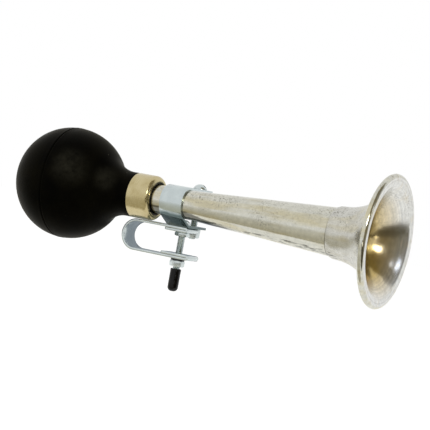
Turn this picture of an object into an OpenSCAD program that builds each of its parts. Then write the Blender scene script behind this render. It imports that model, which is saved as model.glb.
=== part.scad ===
// Bulb horn with a handlebar clip.
// Millimetres. The origin is the centre of the clip's closed end, where the bar sits.
// X runs along the horn towards the bell, Y along the bar, Z up.

/* [Horn tube] */
// Outside diameter of the straight neck that the strap grips
neck_d = 15.2; // [13:0.1:18]
// Outside diameter of the tube where the bell slips over it
tube_mouth_d = 25; // [21:0.1:28]
// Length of the neck ahead of the strap's middle
neck_front = 9; // [8:0.5:20]
// Length of the tube behind the strap's middle, reed end included
tube_tail = 32; // [28:0.5:38]
// Length of the tube ahead of the strap's middle
tube_front = 92.4; // [70:0.1:120]
// Sheet thickness of the tube and the bell
sheet_t = 0.8; // [0.5:0.05:1.2]

/* [Bell] */
// Outside diameter of the bell over its rolled rim
bell_d = 66.5; // [58:0.5:76]
// Length of the bell's throat ahead of the tube
throat_len = 1; // [0.5:0.1:6]
// Angle of the flare from the horn's axis, where it bends into the lip
flare_angle = 62; // [54:1:70]
// Width of the flat lip, from the end of the flare to the outside of the rim
lip_w = 5.5; // [4.8:0.1:7]
// Radius of the bend between the flare and the lip
lip_bend_r = 3; // [2:0.1:4]
// Angle of the lip from the horn's axis
lip_angle = 82; // [74:1:86]
// Length of the bell's socket over the tube
socket_len = 3.5; // [3:0.5:8]
// Diameter of the wire that the rim is rolled round
rim_wire_d = 1.7; // [1:0.1:2.4]

/* [Bulb] */
// Diameter of the rubber bulb
bulb_d = 59.5; // [50:0.5:70]
// Wall of the rubber bulb
bulb_wall = 2.5; // [1.5:0.1:4]
// Outside diameter of the rubber neck in the collar
bulb_neck_d = 21.7; // [20:0.1:22.4]
// Outside diameter of the bare rubber neck behind the collar
bare_neck_d = 23.4; // [22.6:0.1:26]
// Radius where the bulb runs into its neck
bulb_fillet_r = 18; // [8:0.5:20]
// Length of rubber neck left bare behind the collar
neck_bare = 3.8; // [1:0.1:8]
// Depth of the mould line round the bulb
mould_line = 0.4; // [0.2:0.05:0.6]

/* [Collar] */
// Length of the brass collar
collar_len = 12.6; // [9:0.1:15]
// Sheet thickness of the collar
collar_t = 0.9; // [0.6:0.05:1.2]
// Radius of the collar's front shoulder
collar_shoulder_r = 2.6; // [1.2:0.1:3]
// Distance from the strap's middle back to the collar's front
collar_gap = 12.4; // [10:0.1:18]
// Width of the ring-shaped gap between the collar and the tube
collar_ring_gap = 0.3; // [0.2:0.05:0.6]

/* [Reed] */
// Length of the reed plug in the tube
plug_len = 8; // [5:0.5:12]
// Thickness of the plug's flange
plug_flange_t = 1.5; // [1:0.1:2.5]
// Diameter of the shallot, the half-round trough under the reed
shallot_d = 8.4; // [7:0.1:10]
// Length of the shallot behind the plug's flange
shallot_len = 22; // [18:0.5:26]
// Wall that closes the shallot's end
shallot_end_wall = 2; // [1:0.1:3]
// Diameter of the air passage in the shallot
shallot_bore_d = 4.4; // [3:0.1:5]
// Height of the shallot's flat above its axis
reed_flat = 2.7; // [2.6:0.1:3.2]
// Width of the slot under the reed
reed_slot_w = 2.6; // [1.5:0.1:3.2]
// Width of the reed tongue
reed_w = 5; // [4:0.1:6]
// Thickness of the reed tongue
reed_t = 0.35; // [0.2:0.05:0.6]
// Length of the reed tongue
reed_len = 19; // [15:0.5:22]
// Length of shallot that the reed's tip beats on, beyond the slot
reed_tip_rest = 3; // [2:0.1:5]
// Radius of the reed's upward curl
reed_curl_r = 120; // [80:5:200]
// Length of the wedge that holds the reed
wedge_len = 5; // [3:0.5:6]
// Height of the wedge
wedge_h = 1.8; // [1:0.1:2.2]

/* [Strap] */
// Width of the strap along the horn
strap_w = 13; // [11:0.5:15]
// Thickness of the strap
strap_t = 1.25; // [1:0.05:1.6]
// Slope of the strap's leg under the horn
leg_angle = 28; // [26:1:40]
// Inside radius of the bend between the leg and the foot
bend_r = 2; // [1:0.1:3]
// Drop from the horn's axis to the underside of the foot
foot_drop = 12.1; // [12.1:0.1:16]
// Distance from the horn's axis to the clip bolt, along the bar
horn_offset = 10.5; // [10:0.1:14]
// Distance from the clip bolt to the strap screw
screw_spacing = 11; // [10.8:0.1:14]
// Strap beyond the strap screw
ear_margin = 4.1; // [4:0.1:7]
// Radius of the strap's corners
ear_corner_r = 2.5; // [1:0.1:4]

/* [Clip] */
// Inside radius of the clip's closed end
bar_r = 7; // [6.8:0.1:12]
// Width of the clip along the bar
clip_w = 12; // [10:0.1:13]
// Thickness of the clip's strip
clip_t = 1.4; // [1:0.05:1.6]
// Distance from the bar's centre to the clip bolt
bolt_reach = 24.5; // [20:0.5:32]
// Length of the doubled ears behind the clip bolt
hem_back = 8; // [6:0.5:10]
// Upper ear beyond the clip bolt
upper_ear = 6; // [5:0.1:8]
// Lower ear beyond the clip bolt
lower_ear = 9; // [7:0.1:12]

/* [Fasteners] */
// Diameter of the clip bolt and the strap screw
screw_d = 4; // [3.5:0.1:4.5]
// Diameter of their heads
head_d = 7.6; // [7:0.1:8.4]
// Height of their heads
head_h = 2.7; // [2:0.1:3.2]
// Width of the screwdriver slot
slot_w = 1; // [0.8:0.1:1.2]
// Width of the nuts across their flats
nut_w = 7; // [6.5:0.1:7.6]
// Height of the clip nut
nut_h = 3.2; // [2.4:0.1:3.6]
// Height of the tall nut on the strap screw
strap_nut_h = 5; // [3:0.1:6]
// Chamfer on the corners of the nuts
nut_chamfer = 0.45; // [0.2:0.05:0.8]
// Height of the thin lock nut under the upper ear
lock_nut_h = 2.2; // [1.8:0.1:2.8]
// Thickness of the split spring washer
washer_t = 1; // [0.8:0.1:1.4]
// Width of the spring washer's ring
washer_wall = 1.5; // [1:0.1:2]
// Width of the split in the spring washer
washer_split = 1; // [0.6:0.1:1.5]
// Thread of the strap screw left proud of its nut
thread_proud = 0.8; // [0.2:0.1:2]
// Thread of the clip bolt left bare between its nut and the end cap
thread_bare = 1.2; // [0.6:0.1:3]
// Length of the clip bolt inside the end cap
cap_grip = 8; // [5:0.5:9]
// Outside diameter of the end cap
cap_d = 5.7; // [5.4:0.1:7]
// Length of the end cap
cap_len = 12; // [11:0.5:15]
// Radius of the end cap's round tip
cap_tip_r = 2.2; // [0.5:0.1:2.6]

/* [Clearances] */
// Running clearance of the horn in its strap and of the foot on the clip bolt, on the radius
run_gap = 0.06; // [0.03:0.01:0.1]
// Clearance between pieces that are pressed together, on the radius
press_gap = 0.04; // [0.02:0.01:0.08]
// Clearance of the screws in their holes, on the radius
hole_gap = 0.15; // [0.1:0.05:0.3]

/* [Hidden] */
$fn = 96;
CUT = 1;
HEX_SIDES = 6;
FLARE_STEPS = 16;
CURL_STEPS = 12;
BALL_STEPS = 32;
CORNER_STEPS = 6;
BAND_STEPS = 48;

neck_r = neck_d / 2;
tube_mouth_r = tube_mouth_d / 2;
tube_cone_len = tube_front - neck_front;
tube_slope = (tube_mouth_r - neck_r) / tube_cone_len;

// Outside radius of the tube at a place ahead of the strap's middle
function tube_r(x) = neck_r + max(0, x - neck_front) * tube_slope;

// The bell: its flare is one arc that leaves the throat in line with the tube and bends into a flat lip
half_sheet = sheet_t / 2;
rim_wire_r = rim_wire_d / 2;
rim_r = rim_wire_r + press_gap + sheet_t;
curl_r = rim_r - half_sheet;
throat_angle = atan(tube_slope);
socket_lift = (press_gap + half_sheet) / cos(throat_angle);
rim_mid_r = bell_d / 2 - rim_r;
flare_start_x = tube_front + throat_len;
flare_start_r = tube_mouth_r + throat_len * tube_slope + socket_lift;
flare_end_r = bell_d / 2 - lip_w;
flare_r = (flare_end_r - flare_start_r) / (cos(throat_angle) - cos(flare_angle));
flare_mid_r = flare_end_r + flare_r * cos(flare_angle);
flare_mid_x = flare_start_x - flare_r * sin(throat_angle);
lip_mid_r = flare_end_r + lip_bend_r * cos(flare_angle);
lip_mid_x = flare_mid_x + (flare_r - lip_bend_r) * sin(flare_angle);
lip_rise = rim_mid_r - lip_mid_r + (lip_bend_r - curl_r) * cos(lip_angle);
rim_mid_x = lip_mid_x + (lip_bend_r - curl_r) * sin(lip_angle) + lip_rise / tan(lip_angle);
CURL_SWEEP = 270;

// The bulb and what holds its neck
bulb_r = bulb_d / 2;
bulb_neck_r = bulb_neck_d / 2;
bare_neck_r = bare_neck_d / 2;
collar_in_r = bulb_neck_r + press_gap;
collar_r = collar_in_r + collar_t;
collar_hole_r = neck_r + collar_ring_gap;
collar_round = max(collar_shoulder_r - collar_t, press_gap);
bulb_front = collar_gap + collar_t;
fillet_mid_r = bare_neck_r + bulb_fillet_r;
fillet_run = sqrt(pow(bulb_r + bulb_fillet_r, 2) - pow(fillet_mid_r, 2));
fillet_x = -collar_gap - collar_len - neck_bare;
fillet_angle = atan2(fillet_run, fillet_mid_r);
bulb_back = fillet_run - fillet_x;

// The reed end of the tube
reed_end = -tube_tail - plug_flange_t;
shallot_r = shallot_d / 2;
shallot_bore_r = shallot_bore_d / 2;
plug_r = neck_r - sheet_t - press_gap;
reed_slot_len = reed_len - wedge_len - reed_tip_rest;

// The strap's section, seen along the horn with the horn's axis at 0, 0
strap_r = neck_r + run_gap;
half_strap = strap_t / 2;
bend_level = bend_r + strap_t - foot_drop;
leg_len = ((bend_r - strap_r) * cos(leg_angle) - bend_r - strap_t + foot_drop) / sin(leg_angle);
foot_start = leg_len * cos(leg_angle) + (bend_r - strap_r) * sin(leg_angle);
screw_y = horn_offset + screw_spacing;
ear_end = screw_y + ear_margin;

// Levels along the bolts, from the bar's centre
clip_r = bar_r + clip_t;
ear_t = 2 * clip_t;
ear_in = clip_r - ear_t;
horn_height = clip_r + foot_drop;
foot_top = clip_r + strap_t;
strap_top = horn_height + strap_r + strap_t;
screw_r = screw_d / 2;
screw_len = strap_top - clip_r + strap_nut_h + thread_proud;
clip_nut_top = -clip_r - washer_t;
cap_top = clip_nut_top - nut_h - thread_bare;
bolt_len = foot_top - cap_top + cap_grip;

RUBBER = "#1b1b1a";
BRASS = "#c9b88a";
NICKEL = "#cfccc2";
ZINC = "#b4bcc2";
STEEL = "#8a8d90";
VINYL = "#0b0b0c";

// Puts a piece on the horn's axis: Z becomes the horn's axis, with 0 at the strap's middle
module on_horn_axis() {
    translate([bolt_reach, -horn_offset, horn_height]) rotate([0, 90, 0]) children();
}

// Puts a piece on the clip bolt's axis
module on_bolt_axis() {
    translate([bolt_reach, 0, 0]) children();
}

// Puts a piece on the strap screw's axis
module on_screw_axis() {
    translate([bolt_reach, screw_spacing, 0]) children();
}

// Values from a to b in n equal steps
function steps(a, b, n) = [for (i = [0:n]) a + (b - a) * i / n];

// Points along an arc
function arc(mid, r, from, to, n) = [for (a = steps(from, to, n)) mid + r * [cos(a), sin(a)]];

// A flat sector that reaches past radius r, for cutting arcs
module sector(r, from, to) {
    polygon(concat([[0, 0]], arc([0, 0], 2 * r, from, to, ceil((to - from) / 60))));
}

// A point of a line of [u, v, slope], moved off to one side of the line
function beside(p, distance) = [p[0] + distance * cos(p[2]), p[1] - distance * sin(p[2])];

// A sheet or strip that follows such a line, with half its thickness to either side
module strip(line, half_t) {
    last = len(line) - 1;
    polygon(concat(
        [for (i = [0:last]) beside(line[i], half_t)],
        [for (i = [last:-1:0]) beside(line[i], -half_t)]));
}

// A strip of thickness t bent round an inside radius r
module strip_arc(r, t, from, to) {
    intersection() {
        difference() {
            circle(r + t);
            circle(r);
        }
        sector(r + t, from, to);
    }
}

// A rounded plate outline from x = 0 to length, with its two far corners rounded
module ear_outline(length, width, corner_r) {
    translate([0, -width / 2]) square([length - corner_r, width]);
    translate([length - corner_r, -width / 2 + corner_r]) square([corner_r, width - 2 * corner_r]);
    for (side = [-1, 1]) translate([length - corner_r, side * (width / 2 - corner_r)]) circle(corner_r);
}

// A slotted round-head screw that hangs from z = 0
module screw(length) {
    dome_r = (pow(head_d / 2, 2) + pow(head_h, 2)) / (2 * head_h);
    translate([0, 0, -length]) cylinder(r = screw_r, h = length);
    difference() {
        intersection() {
            cylinder(r = head_d / 2, h = head_h);
            translate([0, 0, head_h - dome_r]) sphere(dome_r);
        }
        translate([-head_d, -slot_w / 2, head_h / 2]) cube([2 * head_d, slot_w, head_h]);
    }
}

// A hexagon nut that stands on z = 0, chamfered on both faces
module nut(height) {
    corner_r = nut_w / 2 / cos(180 / HEX_SIDES);
    chamfer = min(nut_chamfer, height / 4);
    difference() {
        intersection() {
            rotate([0, 0, 180 / HEX_SIDES]) cylinder(r = corner_r, h = height, $fn = HEX_SIDES);
            rotate_extrude() polygon([[0, 0], [nut_w / 2, 0], [corner_r, chamfer],
                [corner_r, height - chamfer], [nut_w / 2, height], [0, height]]);
        }
        translate([0, 0, -CUT]) cylinder(r = screw_r + press_gap, h = height + 2 * CUT);
    }
}

// Drawn tube: a straight neck, then a long cone
module horn_tube() {
    color(NICKEL) on_horn_axis() rotate_extrude() polygon([
        [neck_r - sheet_t, -tube_tail], [neck_r, -tube_tail], [neck_r, neck_front],
        [tube_mouth_r, tube_front], [tube_mouth_r - sheet_t, tube_front],
        [neck_r - sheet_t, neck_front]]);
}

// The bell's sheet as a line of [radius, x, slope from the axis], from its socket to the end of its curl
function bell_line() = let (socket_x = tube_front - socket_len) concat(
    [[tube_r(socket_x) + socket_lift, socket_x, throat_angle]],
    [for (a = steps(throat_angle, flare_angle, FLARE_STEPS))
        [flare_mid_r - flare_r * cos(a), flare_mid_x + flare_r * sin(a), a]],
    [for (a = steps(flare_angle, lip_angle, CORNER_STEPS))
        if (a > flare_angle) [lip_mid_r - lip_bend_r * cos(a), lip_mid_x + lip_bend_r * sin(a), a]],
    [for (a = steps(lip_angle, lip_angle + CURL_SWEEP, CURL_STEPS))
        [rim_mid_r - curl_r * cos(a), rim_mid_x + curl_r * sin(a), a]]);

// Spun bell: a socket over the tube, a short throat, the flare, the flat lip and the rolled rim
module bell() {
    color(NICKEL) on_horn_axis() rotate_extrude() strip(bell_line(), half_sheet);
}

// Steel wire that the bell's rim is rolled round
module rim_wire() {
    color(STEEL) on_horn_axis() rotate_extrude() translate([rim_mid_r, rim_mid_x]) circle(rim_wire_r);
}

// Pressed brass collar that grips the rubber neck, with a rounded shoulder in front
module collar() {
    rear = -collar_gap - collar_len;
    color(BRASS) on_horn_axis() rotate_extrude() polygon(concat(
        [[collar_in_r, rear], [collar_r, rear]],
        arc([collar_r - collar_shoulder_r, -collar_gap - collar_shoulder_r], collar_shoulder_r, 0, 90,
            CORNER_STEPS),
        [[collar_hole_r, -collar_gap], [collar_hole_r, -bulb_front]],
        arc([collar_in_r - collar_round, -bulb_front - collar_round], collar_round, 90, 0, CORNER_STEPS)));
}

// Moulded rubber bulb: a hollow ball that runs into a thick neck
module bulb() {
    neck_in = neck_r + press_gap;
    hollow_r = bulb_r - bulb_wall;
    front = -bulb_front - press_gap;
    step = -collar_gap - collar_len - press_gap;
    color(RUBBER) on_horn_axis() rotate_extrude() difference() {
        polygon(concat(
            arc([0, -bulb_back], bulb_r, -90, fillet_angle, BALL_STEPS),
            arc([fillet_mid_r, fillet_x], bulb_fillet_r, 180 + fillet_angle, 180, FLARE_STEPS),
            [[bare_neck_r, step], [bulb_neck_r, step]],
            arc([bulb_neck_r - collar_round, front - collar_round], collar_round, 0, 90, CORNER_STEPS),
            [[neck_in, front]],
            arc([0, -bulb_back], hollow_r, acos(neck_in / hollow_r), -90, BALL_STEPS)));
        translate([bulb_r, -bulb_back]) circle(mould_line);
    }
}

// Brass plug pressed into the tube's tail, with a hole for the shallot
module reed_plug() {
    color(BRASS) on_horn_axis() difference() {
        union() {
            translate([0, 0, -tube_tail]) cylinder(r = plug_r, h = plug_len);
            translate([0, 0, reed_end]) cylinder(r = neck_r, h = plug_flange_t);
        }
        translate([0, 0, reed_end - CUT])
            cylinder(r = shallot_r + press_gap, h = plug_flange_t + plug_len + 2 * CUT);
    }
}

// Shallot: a tube with a flat along its top and a slot that the reed beats on
module shallot() {
    tip = reed_end - shallot_len;
    color(BRASS) on_horn_axis() difference() {
        translate([0, 0, tip]) cylinder(r = shallot_r, h = -tube_tail + plug_len - tip);
        translate([0, 0, tip + shallot_end_wall])
            cylinder(r = shallot_bore_r, h = tube_tail + plug_len + shallot_len);
        translate([-shallot_d - reed_flat, -shallot_d, tip - CUT])
            cube([shallot_d, 2 * shallot_d, shallot_len + CUT]);
        translate([-shallot_d, -reed_slot_w / 2, reed_end - wedge_len - reed_slot_len])
            cube([shallot_d, reed_slot_w, reed_slot_len]);
    }
}

// Reed tongue: a brass strip, flat at its root and curled up towards its free end
module reed_tongue() {
    curl_len = reed_len - wedge_len;
    curl = curl_len / reed_curl_r * 180 / PI;
    color(BRASS) on_horn_axis() rotate([90, 0, 0]) linear_extrude(reed_w, center = true) {
        translate([-reed_flat - reed_t, reed_end - wedge_len]) square([reed_t, wedge_len]);
        translate([-reed_flat - reed_t - reed_curl_r, reed_end - wedge_len])
            strip_arc(reed_curl_r, reed_t, -curl, 0);
    }
}

// Brass wedge that holds the reed's root down against the shallot
module reed_wedge() {
    slope_h = wedge_h / 2;
    color(BRASS) on_horn_axis() rotate([90, 0, 0]) linear_extrude(reed_w, center = true)
        translate([-reed_flat - reed_t, reed_end])
            polygon([[0, 0], [-wedge_h, 0], [-slope_h, -wedge_len], [0, -wedge_len]]);
}

// The strap's strip as a line of [y, z, slope]: top ear, band round the neck, leg, bend and foot
function strap_line() = concat(
    [[ear_end, strap_r + half_strap, -90]],
    [for (a = steps(90, 270 - leg_angle, BAND_STEPS))
        [(strap_r + half_strap) * cos(a), (strap_r + half_strap) * sin(a), -a]],
    [for (a = steps(270 - leg_angle, 270, CORNER_STEPS))
        [foot_start + (bend_r + half_strap) * cos(a), bend_level + (bend_r + half_strap) * sin(a), -a]],
    [[ear_end, half_strap - foot_drop, 90]]);

// Zinc-plated strap that holds the horn by its neck
module neck_strap() {
    outline_start = -strap_r - strap_t;
    color(ZINC) difference() {
        intersection() {
            translate([bolt_reach, -horn_offset, horn_height]) rotate([90, 0, 90])
                linear_extrude(strap_w, center = true) strip(strap_line(), half_strap);
            translate([bolt_reach, -horn_offset + outline_start, 0]) rotate([0, 0, 90])
                linear_extrude(strap_top + CUT)
                    ear_outline(ear_end - outline_start, strap_w, ear_corner_r);
        }
        on_bolt_axis() translate([0, 0, clip_r - CUT])
            cylinder(r = screw_r + run_gap, h = strap_t + 2 * CUT);
        on_screw_axis() translate([0, 0, clip_r - CUT])
            cylinder(r = screw_r + hole_gap, h = strap_top - clip_r + 2 * CUT);
    }
}

// Screw that draws the strap's two ears together behind the horn
module strap_screw() {
    color(ZINC) on_screw_axis() translate([0, 0, strap_top]) screw(screw_len);
}

module strap_nut() {
    color(ZINC) on_screw_axis() translate([0, 0, clip_r - strap_nut_h]) nut(strap_nut_h);
}

// The clip's section: a closed end for the bar, two arms and two doubled ears
module clip_section() {
    strip_arc(bar_r, clip_t, 90, 270);
    clip_arm(upper_ear);
    mirror([0, 1]) clip_arm(lower_ear);
}

// One arm of the clip, folded back double where it reaches past the bolt
module clip_arm(ear) {
    fold_x = bolt_reach + ear - clip_t;
    hem_start = bolt_reach - hem_back;
    translate([0, bar_r]) square([fold_x, clip_t]);
    translate([hem_start, ear_in]) square([fold_x - hem_start, clip_t]);
    translate([fold_x, bar_r]) intersection() {
        circle(clip_t);
        translate([0, -clip_t]) square([clip_t, ear_t]);
    }
}

// Zinc-plated strip bent into a U round the bar, with its ends folded back double
module bar_clip() {
    color(ZINC) difference() {
        rotate([90, 0, 0]) linear_extrude(clip_w, center = true) clip_section();
        on_bolt_axis() translate([0, 0, -clip_r - CUT])
            cylinder(r = screw_r + hole_gap, h = 2 * (clip_r + CUT));
    }
}

// Bolt that holds the clip to the strap's foot and closes the clip round the bar
module clip_bolt() {
    color(ZINC) on_bolt_axis() translate([0, 0, foot_top]) screw(bolt_len);
}

module lock_nut() {
    color(ZINC) on_bolt_axis() translate([0, 0, ear_in - lock_nut_h]) nut(lock_nut_h);
}

// Split spring washer under the lower ear
module spring_washer() {
    inner_r = screw_r + hole_gap;
    split_angle = washer_split / (inner_r + washer_wall) * 180 / PI;
    color(STEEL) on_bolt_axis() translate([0, 0, clip_nut_top]) rotate_extrude(angle = 360 - split_angle)
        translate([inner_r, 0]) square([washer_wall, washer_t]);
}

module clip_nut() {
    color(ZINC) on_bolt_axis() translate([0, 0, clip_nut_top - nut_h]) nut(nut_h);
}

// Soft vinyl cap pushed over the bolt's end
module end_cap() {
    cap_r = cap_d / 2;
    tip_r = min(cap_tip_r, cap_r);
    cap_end = cap_top - cap_len;
    color(VINYL) on_bolt_axis() rotate_extrude() difference() {
        union() {
            translate([0, cap_end + tip_r]) square([cap_r, cap_len - tip_r]);
            translate([0, cap_end]) square([cap_r - tip_r, tip_r]);
            intersection() {
                translate([cap_r - tip_r, cap_end + tip_r]) circle(tip_r);
                translate([cap_r - tip_r, cap_end]) square(tip_r);
            }
        }
        translate([0, cap_top - cap_grip]) square([screw_r + press_gap, cap_grip + CUT]);
    }
}

horn_tube();
bell();
rim_wire();
collar();
bulb();
reed_plug();
shallot();
reed_tongue();
reed_wedge();
neck_strap();
strap_screw();
strap_nut();
bar_clip();
clip_bolt();
lock_nut();
spring_washer();
clip_nut();
end_cap();
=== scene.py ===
import math

import bpy
from mathutils import Matrix, Vector


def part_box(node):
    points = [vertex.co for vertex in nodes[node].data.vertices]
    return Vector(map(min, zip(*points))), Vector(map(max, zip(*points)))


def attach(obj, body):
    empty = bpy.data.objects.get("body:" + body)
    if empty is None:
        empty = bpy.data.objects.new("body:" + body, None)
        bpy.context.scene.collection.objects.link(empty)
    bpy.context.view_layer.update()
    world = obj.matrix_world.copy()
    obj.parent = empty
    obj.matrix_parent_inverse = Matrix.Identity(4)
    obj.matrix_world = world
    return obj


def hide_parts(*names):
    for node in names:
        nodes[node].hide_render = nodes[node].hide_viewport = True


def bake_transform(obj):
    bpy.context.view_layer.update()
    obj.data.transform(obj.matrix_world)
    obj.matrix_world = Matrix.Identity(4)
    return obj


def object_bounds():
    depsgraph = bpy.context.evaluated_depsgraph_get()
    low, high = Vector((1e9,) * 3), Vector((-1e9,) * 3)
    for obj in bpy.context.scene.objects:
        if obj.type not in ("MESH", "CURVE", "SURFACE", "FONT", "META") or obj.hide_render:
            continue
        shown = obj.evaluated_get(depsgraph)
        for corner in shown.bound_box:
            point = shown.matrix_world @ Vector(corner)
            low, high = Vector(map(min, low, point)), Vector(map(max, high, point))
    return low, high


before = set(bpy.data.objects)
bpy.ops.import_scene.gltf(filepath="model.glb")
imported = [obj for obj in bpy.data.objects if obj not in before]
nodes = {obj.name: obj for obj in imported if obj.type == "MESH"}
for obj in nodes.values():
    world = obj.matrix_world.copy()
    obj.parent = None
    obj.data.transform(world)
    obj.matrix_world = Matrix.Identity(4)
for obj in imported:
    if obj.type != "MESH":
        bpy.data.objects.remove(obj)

cad_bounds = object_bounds()
MM = 0.001


def middle(node_name):
    """The middle of a CAD node's box, in millimetres."""
    low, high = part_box(node_name)
    return (low + high) / 2 / MM


def levels(node_name):
    """The lowest and the highest level of a CAD node, in millimetres."""
    low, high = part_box(node_name)
    return low.z / MM, high.z / MM


# The axes that pieces are made round: the horn's, from the strap's middle, the clip bolt's and the screw's
HORN = Vector((middle("neck_strap").x, middle("horn_tube").y, middle("horn_tube").z))
BOLT = Vector((middle("clip_bolt").x, middle("clip_bolt").y, 0))
SCREW = Vector((middle("strap_screw").x, middle("strap_screw").y, 0))
ALONG_HORN = Vector((1, 0, 0))
ALONG_BAR = Vector((0, 1, 0))
UPRIGHT = Vector((0, 0, 1))

# The photograph's camera, in degrees and millimetres: its turn round the horn, height, tilt and lens
CAMERA_TURN = 26.8
CAMERA_HEIGHT = 0.85
CAMERA_TILT = 10.3
CAMERA_DISTANCE = 752
CAMERA_NEAREST = 10
CAMERA_AIM = Vector((46.7, HORN.y, HORN.z - 2.65))
LENS_PIXELS = 1472
PHOTO_PIXELS = 430
SENSOR_WIDTH = 36

# Sizes in millimetres and angles in degrees, as in the part's source
SHEET = 0.8
NECK_R = 7.6
MOUTH_R = 12.5
TUBE_TAIL = 32
NECK_FRONT = 9
TUBE_FRONT = 92.4
BELL_R = 33.25
THROAT = 1
SOCKET = 3.5
FLARE_ANGLE = 62
LIP_WIDTH = 5.5
LIP_BEND_R = 3
LIP_ANGLE = 82
RIM_WIRE_R = 0.85
PRESS_GAP = 0.04
RUN_GAP = 0.06
HOLE_GAP = 0.15
BULB_R = 29.75
BULB_WALL = 2.5
BULB_NECK_R = 10.85
BARE_NECK_R = 11.7
BULB_FILLET_R = 18
NECK_BARE = 3.8
COLLAR_GAP = 12.4
COLLAR_LENGTH = 12.6
COLLAR_WALL = 0.9
COLLAR_SHOULDER_R = 2.6
COLLAR_HOLE_R = 7.9
STRAP_WIDTH = 13
STRAP_WALL = 1.25
STRAP_BEND_R = 2
FOOT_DROP = 12.1
LEG_ANGLE = 28
EAR_END = 25.6
EAR_CORNER_R = 2.5
BAR_R = 7
CLIP_WIDTH = 12
CLIP_WALL = 1.4
HEM_BACK = 8
UPPER_EAR = 6
LOWER_EAR = 9
SCREW_R = 2
HEAD_R = 3.8
HEAD_HEIGHT = 2.7
SLOT_WIDTH = 1
NUT_WIDTH = 7
NUT_CHAMFER = 0.45
WASHER_WALL = 1.5
WASHER_SPLIT = 1
CAP_R = 2.85
CAP_TIP_R = 2.2
CAP_GRIP = 8
PLUG_FLANGE = 1.5
REED_FLAT = 2.7
REED_WIDTH = 5
REED_WALL = 0.35
REED_LENGTH = 19
REED_CURL_R = 120
WEDGE_LENGTH = 5

# The rim's curl goes on from the source's 270 degrees until it closes on the lip
CURL_SWEEP = 298

# The M4 thread that the source leaves plain
THREAD_PITCH = 0.7
THREAD_ROOT_R = 1.58
THREAD_STEPS = 28

# Small trim: widths of softened edges, corners, the seam in the clip's folds, and a hair's room for the reed
STRAP_EDGE = 0.16
CLIP_EDGE = 0.18
SCREW_EDGE = 0.07
NUT_EDGE = 0.1
WASHER_EDGE = 0.12
SHARP_ANGLE = 40
CLIP_CORNER_R = 1
REED_CORNER_R = 0.4
FOLD_SEAM = 0.05
REED_ROOM = 0.02

# How finely pieces are turned, how near two points are the same one, and how far a drill goes past a wall
SPIN_STEPS = 144
SMALL_SPIN_STEPS = 48
DOUBLES = 0.002
DRILL_PAST = 1


def place_camera():
    turn = math.radians(CAMERA_TURN)
    height = math.radians(CAMERA_HEIGHT)
    tilt = math.radians(CAMERA_TILT)
    back = Vector((math.sin(turn) * math.cos(height), -math.cos(turn) * math.cos(height), math.sin(height)))
    right = Vector((math.cos(turn), math.sin(turn), 0))
    up = back.cross(right)
    tilted_right = right * math.cos(tilt) + up * math.sin(tilt)
    tilted_up = up * math.cos(tilt) - right * math.sin(tilt)
    bpy.ops.object.camera_add()
    camera = bpy.context.object
    turned = Matrix((tilted_right, tilted_up, back)).transposed().to_4x4()
    camera.matrix_world = Matrix.Translation((CAMERA_AIM + back * CAMERA_DISTANCE) * MM) @ turned
    camera.data.sensor_width = SENSOR_WIDTH
    camera.data.lens = LENS_PIXELS / PHOTO_PIXELS * SENSOR_WIDTH
    camera.data.clip_start = CAMERA_NEAREST * MM
    bpy.context.scene.camera = camera


place_camera()


def linear(hex_colour):
    """An sRGB hex colour as linear red, green, blue and alpha."""
    channels = [int(hex_colour[i:i + 2], 16) / 255 for i in (1, 3, 5)]
    return [c / 12.92 if c <= 0.04045 else ((c + 0.055) / 1.055) ** 2.4 for c in channels] + [1]


def set_inputs(tree, node, inputs):
    """Gives a node's inputs their values, or links where the value is a socket or another node.

    An input goes by its place, or by its name among those in use. A node stands for its first output in use.
    """
    for key, value in inputs.items():
        if isinstance(key, int):
            target = node.inputs[key]
        else:
            target = next(socket for socket in node.inputs if socket.enabled and socket.name == key)
        if isinstance(value, bpy.types.Node):
            value = next(socket for socket in value.outputs if socket.enabled)
        if isinstance(value, bpy.types.NodeSocket):
            tree.links.new(value, target)
        else:
            target.default_value = value


def add_node(tree, kind, inputs=None, **settings):
    """Adds a shader node of a kind, such as Math or Bump, with its settings and inputs."""
    added = tree.nodes.new("ShaderNode" + kind)
    for name, value in settings.items():
        setattr(added, name, value)
    set_inputs(tree, added, inputs or {})
    return added


def start_material(name):
    """A new material, with its tree, its shader and its Object coordinates in millimetres."""
    material = bpy.data.materials.new(name)
    material.use_nodes = True
    tree = material.node_tree
    shader = tree.nodes["Principled BSDF"]
    place = add_node(tree, "TexCoord").outputs["Object"]
    in_mm = add_node(tree, "VectorMath", {0: place, "Scale": 1 / MM}, operation="SCALE")
    return material, tree, shader, in_mm


def off_horn_axis(tree, mm):
    """The way from the horn's axis straight out to each point."""
    to_axis = {"Vector": mm, "Location": (0, -HORN.y, -HORN.z), "Scale": (0, 1, 1)}
    return add_node(tree, "Mapping", to_axis)


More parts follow.
